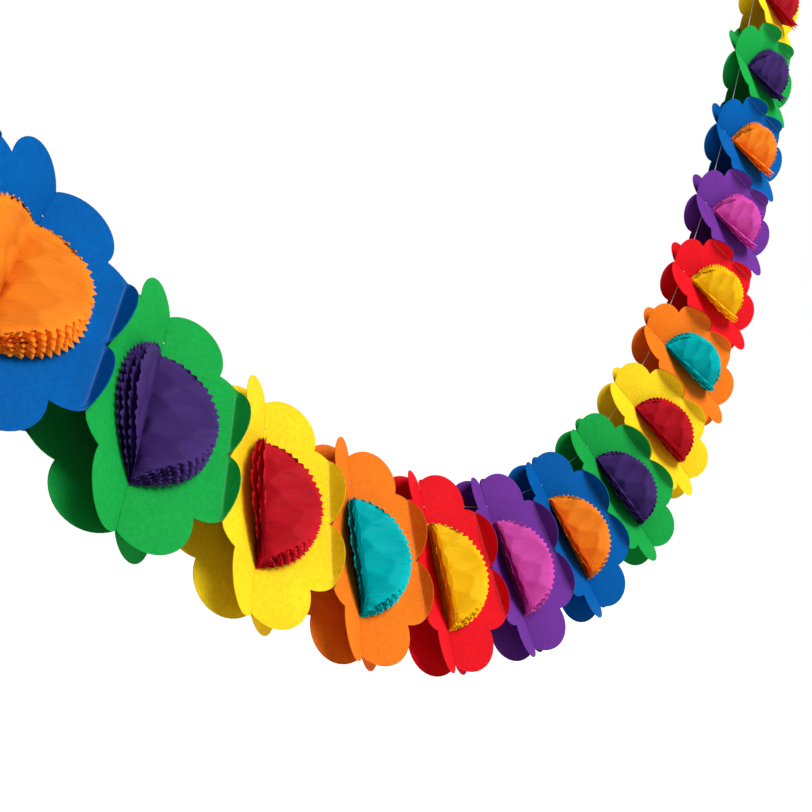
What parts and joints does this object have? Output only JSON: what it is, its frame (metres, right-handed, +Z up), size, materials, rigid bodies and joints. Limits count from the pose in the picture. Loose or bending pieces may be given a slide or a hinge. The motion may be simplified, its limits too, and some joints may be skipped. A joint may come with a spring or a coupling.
{
  "type": "paper flower garland",
  "caption": "Hanging party garland of folded die-cut paper flowers with honeycomb tissue centres, threaded as a swag with a hanging loop at each end.",
  "frame": {"origin": "inside the left hanging loop, where it goes over its hook", "axes": "+X to the right along the garland, fronts of the flowers towards -Y, +Z up; the swag hangs in the XZ plane"},
  "size_m": [1.1672, 0.0924, 0.6291],
  "materials": {
    "blue_paper": "matte",
    "green_paper": "matte",
    "yellow_paper": "matte",
    "orange_paper": "matte",
    "red_paper": "matte",
    "purple_paper": "matte",
    "orange_tissue": "matte, thin and translucent",
    "violet_tissue": "matte, thin and translucent",
    "crimson_tissue": "matte, thin and translucent",
    "teal_tissue": "matte, thin and translucent",
    "gold_tissue": "matte, thin and translucent",
    "magenta_tissue": "matte, thin and translucent",
    "thread": "matte twisted cotton"
  },
  "bodies": {
    "root": {"flower_01_blue_left_sheet": "blue_paper", "flower_01_blue_right_sheet": "blue_paper", "flower_01_blue_centres": "orange_tissue", "flower_02_green_left_sheet": "green_paper", "flower_02_green_right_sheet": "green_paper", "flower_02_green_centres": "violet_tissue", "flower_03_yellow_left_sheet": "yellow_paper", "flower_03_yellow_right_sheet": "yellow_paper", "flower_03_yellow_centres": "crimson_tissue", "flower_04_orange_left_sheet": "orange_paper", "flower_04_orange_right_sheet": "orange_paper", "flower_04_orange_centres": "teal_tissue", "flower_05_red_left_sheet": "red_paper", "flower_05_red_right_sheet": "red_paper", "flower_05_red_centres": "gold_tissue", "flower_06_purple_left_sheet": "purple_paper", "flower_06_purple_right_sheet": "purple_paper", "flower_06_purple_centres": "magenta_tissue", "flower_07_blue_left_sheet": "blue_paper", "flower_07_blue_right_sheet": "blue_paper", "flower_07_blue_centres": "orange_tissue", "flower_08_green_left_sheet": "green_paper", "flower_08_green_right_sheet": "green_paper", "flower_08_green_centres": "violet_tissue", "flower_09_yellow_left_sheet": "yellow_paper", "flower_09_yellow_right_sheet": "yellow_paper", "flower_09_yellow_centres": "crimson_tissue", "flower_10_orange_left_sheet": "orange_paper", "flower_10_orange_right_sheet": "orange_paper", "flower_10_orange_centres": "teal_tissue", "flower_11_red_left_sheet": "red_paper", "flower_11_red_right_sheet": "red_paper", "flower_11_red_centres": "gold_tissue", "flower_12_purple_left_sheet": "purple_paper", "flower_12_purple_right_sheet": "purple_paper", "flower_12_purple_centres": "magenta_tissue", "flower_13_blue_left_sheet": "blue_paper", "flower_13_blue_right_sheet": "blue_paper", "flower_13_blue_centres": "orange_tissue", "flower_14_green_left_sheet": "green_paper", "flower_14_green_right_sheet": "green_paper", "flower_14_green_centres": "violet_tissue", "flower_15_yellow_left_sheet": "yellow_paper", "flower_15_yellow_right_sheet": "yellow_paper", "flower_15_yellow_centres": "crimson_tissue", "thread": "thread", "left_knot": "thread", "right_knot": "thread"}
  },
  "joints": []
}
